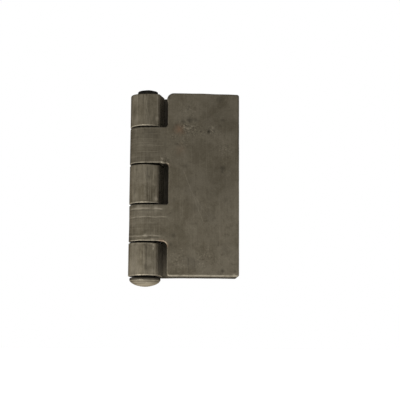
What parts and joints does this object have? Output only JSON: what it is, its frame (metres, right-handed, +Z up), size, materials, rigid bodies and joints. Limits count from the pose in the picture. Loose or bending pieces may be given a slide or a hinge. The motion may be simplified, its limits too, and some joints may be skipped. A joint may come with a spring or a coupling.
{
  "type": "door hinge",
  "caption": "Heavy weld-on butt hinge with plain rectangular leaves, rolled interleaved knuckles and a fixed pin with a domed head at one end.",
  "frame": {"origin": "on the frame leaf's outer weld face, level with the middle of the centre knuckle and half way between the pin's axis and the free edge", "axes": "+Z up along the pin with its head at the bottom, +Y out of the frame leaf's weld face, +X from the pin towards the free edges"},
  "size_m": [0.0765, 0.0237, 0.1385],
  "materials": {
    "frame_leaf_steel": "bare hot-rolled steel with thin mill scale and an oil film",
    "door_leaf_steel": "bare hot-rolled steel with thin mill scale and an oil film",
    "hinge_pin_steel": "drawn steel bar, darker scale on the cut end"
  },
  "bodies": {
    "frame": {"frame_leaf": "frame_leaf_steel", "hinge_pin": "hinge_pin_steel"},
    "door": {"door_leaf": "door_leaf_steel"}
  },
  "joints": [
    {"name": "leaf_swing", "type": "hinge", "parent": "frame", "child": "door", "pos_m": [-0.03235, -0.01185, 0], "axis": [0, 0, -1], "range_deg": [-12, 250]}
  ]
}
